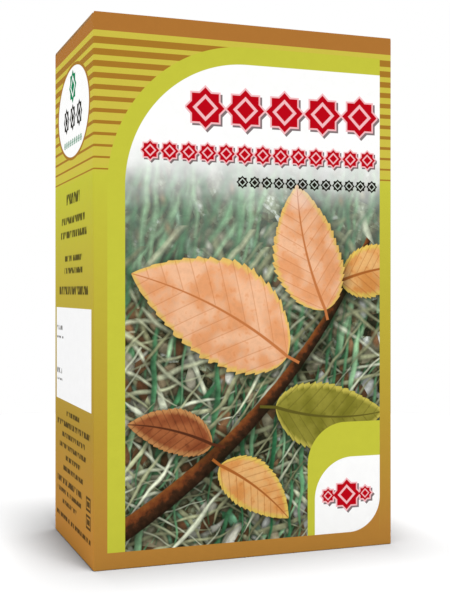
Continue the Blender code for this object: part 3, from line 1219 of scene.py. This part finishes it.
def make_walls():
    half = BOARD / 2
    outer_x, outer_y = WIDTH / 2 - half, DEPTH / 2 - half
    lap_x = outer_x - BOARD - GLUE
    run_x = WIDTH - 2 * (half + CREASE_RADIUS)
    back_run = run_x - (outer_x - lap_x)
    bend_y = outer_y - CREASE_RADIUS
    front_slit = (flap_low.y - SLIT, flap_low.y)
    back_slit = (flap_high.y, flap_high.y + SLIT)
    corner_turn = ("turn", 90, CREASE_RADIUS, CORNER_STEPS)
    moves = [
        ("run", LAP_LENGTH, LAP_STEPS),
        corner_turn,
        ("run", back_run, WALL_STEPS),
        corner_turn,
        *side_runs(bend_y, *back_slit[::-1], *front_slit[::-1], -bend_y),
        corner_turn,
        ("run", run_x, WALL_STEPS),
        corner_turn,
        *side_runs(-bend_y, *front_slit, *back_slit, DEPTH / 2),
    ]
    stops = walk((lap_x, bend_y - LAP_LENGTH), 90, moves)

    half_corner = CORNER_STEPS // 2  # two walls share a corner, but the back has all of the one at the lap
    names = ["lap"] * LAP_STEPS + ["back"] * (CORNER_STEPS + WALL_STEPS + half_corner)
    names += ["left"] * (half_corner + WALL_STEPS + half_corner)
    names += ["front"] * (half_corner + WALL_STEPS + half_corner)
    names += ["right"] * (half_corner + WALL_STEPS)

    rungs = []
    for i, stop in enumerate(stops):
        name = names[min(i, len(names) - 1)]
        outward = Vector((math.sin(stop.heading), -math.cos(stop.heading), 0))
        low, high = 0.0, wall_top(name, stop.along)
        if name == "lap":
            low = LAP_INSET + LAP_TAPER * (1 - stop.walked / LAP_LENGTH)
            high = HEIGHT - low
        place = Vector((stop.across, stop.along, 0))
        rungs.append((place, outward, UP, low, high, place + outward * half))

    on_print = {
        "lap": (inside_finish, lambda skin, reach: (skin.y, reach)),
        "back": (face_finish, lambda skin, reach: (WIDTH / 2 - skin.x, HEIGHT - reach)),
        "left": (side_finish, lambda skin, reach: (DEPTH / 2 - skin.y, HEIGHT - reach)),
        "front": (face_finish, lambda skin, reach: (WIDTH / 2 + skin.x, HEIGHT - reach)),
        "right": (side_finish, lambda skin, reach: (DEPTH / 2 + skin.y, HEIGHT - reach)),
    }
    panels = [on_print[name] for name in names]
    finishes = [face_finish, side_finish, inside_finish, cut_finish]
    return fold_sheet("carton_walls", rungs, panels, WALL_ROWS, finishes, FOOT_RADIUS)


walls = make_walls()
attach(walls, "sleeve")
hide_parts("sleeve")
print("walls:", len(walls.data.polygons), "faces")

# %% [markdown]
# ## Flaps
# A flap starts on its wall, turns over the crease and runs on as a flat panel. The same function
# makes the lid and both dust flaps.

# %% Flaps
FLAP_COLUMNS = 24
TURN_STEPS = 8


def make_flap(name, wall_middle, inward, crease_height, moves, ends, print_of, outer_finish):
    """A flap from a wall's top. ends(walked) gives both ends of the rung at that length."""
    along = UP.cross(inward)
    stops = walk((0.0, crease_height - CREASE_RADIUS), 90, moves)
    rungs = []
    for stop in stops:
        place = wall_middle - inward * stop.across + Vector((0, 0, stop.along))
        outward = -inward * math.sin(stop.heading) - UP * math.cos(stop.heading)
        low, high = ends(stop.walked)
        rungs.append((place, outward, along, low, high, stop.walked))
    panels = [(outer_finish, print_of)] * (len(rungs) - 1)
    return fold_sheet(name, rungs, panels, FLAP_COLUMNS, [outer_finish, inside_finish, cut_finish])


def hang_between(piece):
    """Writes the flap's placement into its mesh."""
    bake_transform(piece)


print("a flap has", FLAP_COLUMNS, "columns, and its crease", TURN_STEPS, "steps")

# %% [markdown]
# The lid is a little narrower than the carton, and its tuck narrower still, to slide in between the side
# walls. The tuck's corners are round, so that they find their way.

# %% Lid
TUCK_LEAN = 12
TUCK_LENGTH = 14.0
TUCK_ROUND = 8.0
LID_CLEARANCE = 0.15
TUCK_CLEARANCE = 0.3
CREASE_HALF = WIDTH / 2 - BOARD / 2 - CREASE_RADIUS  # half the lid's crease, between the corners' bends
LID_HALF = WIDTH / 2 - LID_CLEARANCE
TUCK_HALF = WIDTH / 2 - BOARD - TUCK_CLEARANCE
LID_RUN = DEPTH - BOARD - TUCK_CLEARANCE - BOARD - CREASE_RADIUS - CREASE_RADIUS
LID_BEND_START = CREASE_RADIUS * math.pi / 2 + LID_RUN
NARROWING = 0.4  # how far before its second crease the lid starts to narrow to the tuck
TUCK_START = LID_BEND_START + CREASE_RADIUS * math.radians(90 + TUCK_LEAN)
CREASE_START = 1e-6


def lid_ends(walked):
    """Both ends of the lid's rung: the crease, the lid, then the tuck with its round corners."""
    if walked < CREASE_START:
        return -CREASE_HALF, CREASE_HALF
    if walked < LID_BEND_START - NARROWING:
        return -LID_HALF, LID_HALF
    narrow = min(1.0, (walked - LID_BEND_START) / NARROWING + 1.0)
    half = LID_HALF + (TUCK_HALF - LID_HALF) * narrow
    half -= cut_by_round(TUCK_ROUND, walked - (TUCK_START + TUCK_LENGTH - TUCK_ROUND))
    return -half, half


def make_lid():
    inward = Vector((0, -1, 0))
    moves = [
        ("turn", 90, CREASE_RADIUS, TURN_STEPS),
        ("run", LID_RUN - NARROWING, 20),
        ("run", NARROWING, 2),
        ("turn", 90 + TUCK_LEAN, CREASE_RADIUS, TURN_STEPS),
        ("run", TUCK_LENGTH - TUCK_ROUND, 4),
        *round_runs(TUCK_ROUND, 16),
    ]
    head = HEIGHT - (LID_CREASE.z - CREASE_RADIUS)
    lid = make_flap(
        "lid_board",
        Vector((0, LID_CREASE.y, 0)),
        inward,
        LID_CREASE.z,
        moves,
        lid_ends,
        lambda walked, reach: (WIDTH / 2 + reach, head - walked),
        lid_finish,
    )
    hang_between(lid)
    return lid


lid = make_lid()
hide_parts("lid")
print("lid:", len(lid.data.polygons), "faces")

# %% [markdown]
# The dust flaps are cut away at the back, where the lid comes down on them, and their tips are round.

# %% Dust flaps
DUST_LENGTH = flap_high.x - flap_low.x
DUST_ROUND = 4.0
SPRING_RADIUS = 2.0
DUST_BACK_TAPER = math.tan(math.radians(28))
DUST_FRONT_TAPER = math.tan(math.radians(4))


def dust_ends(walked, front, back):
    """The front and back end of a dust flap's rung. Both taper, and the tip's corners are round."""
    onward = max(walked - CREASE_RADIUS * math.pi / 2, 0.0)
    cut = cut_by_round(DUST_ROUND, onward - (DUST_LENGTH - DUST_ROUND))
    return front + onward * DUST_FRONT_TAPER + cut, back - onward * DUST_BACK_TAPER - cut


def make_dust_flap(name, side):
    inward = Vector((-side, 0, 0))
    dip = math.degrees(math.asin(SPRING / SPRING_RUN))
    moves = [
        ("turn", 90 + dip, CREASE_RADIUS, TURN_STEPS),
        ("run", SPRING_RUN, 6),
        ("turn", -dip, SPRING_RADIUS, 3),
        ("run", DUST_LENGTH - DUST_ROUND - SPRING_RUN, 8),
        *round_runs(DUST_ROUND, 12),
    ]
    head = HEIGHT - (DUST_CREASE.z - CREASE_RADIUS)

    def ends(walked):
        low, high = dust_ends(walked, flap_low.y, flap_high.y)
        return (low, high) if side < 0 else (-high, -low)

    flap = make_flap(
        name + "_board",
        Vector((side * DUST_CREASE.x, 0, 0)),
        inward,
        DUST_CREASE.z + SPRING,
        moves,
        ends,
        lambda walked, reach: (DEPTH / 2 + reach, head - walked),
        dust_finish,
    )
    hang_between(flap)
    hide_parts(name)
    return flap


dust_flaps = [make_dust_flap("dust_flap_left", -1), make_dust_flap("dust_flap_right", 1)]
print("dust flaps:", [len(flap.data.polygons) for flap in dust_flaps], "faces")

# %% [markdown]
# ## The bottom
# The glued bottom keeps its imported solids. Only the outermost flap shows from below, and it is printed.

# %% Bottom
BOTTOM_DARK = screen_colour(170, 112, 50)


def bottom_finish():
    material, start = new_finish("bottom_print")
    place = own_millimetres(start)
    mottle = noise(place, MOTTLE, detail=3.0)
    colour = noise(place, 6.0, detail=3.0).between(BROWN, BOTTOM_DARK)
    close_finish(start, place, mottled(colour, mottle), mottle * 0.12 + 0.36)
    return material


def refinish(node, finish):
    for slot in frame["nodes"][node].material_slots:
        slot.material = finish


refinish("bottom_outer_flap", bottom_finish())
for node in ("bottom_inner_flap", "bottom_dust_flap_left", "bottom_dust_flap_right"):
    refinish(node, flap_finish)
print("bottom flaps refinished")
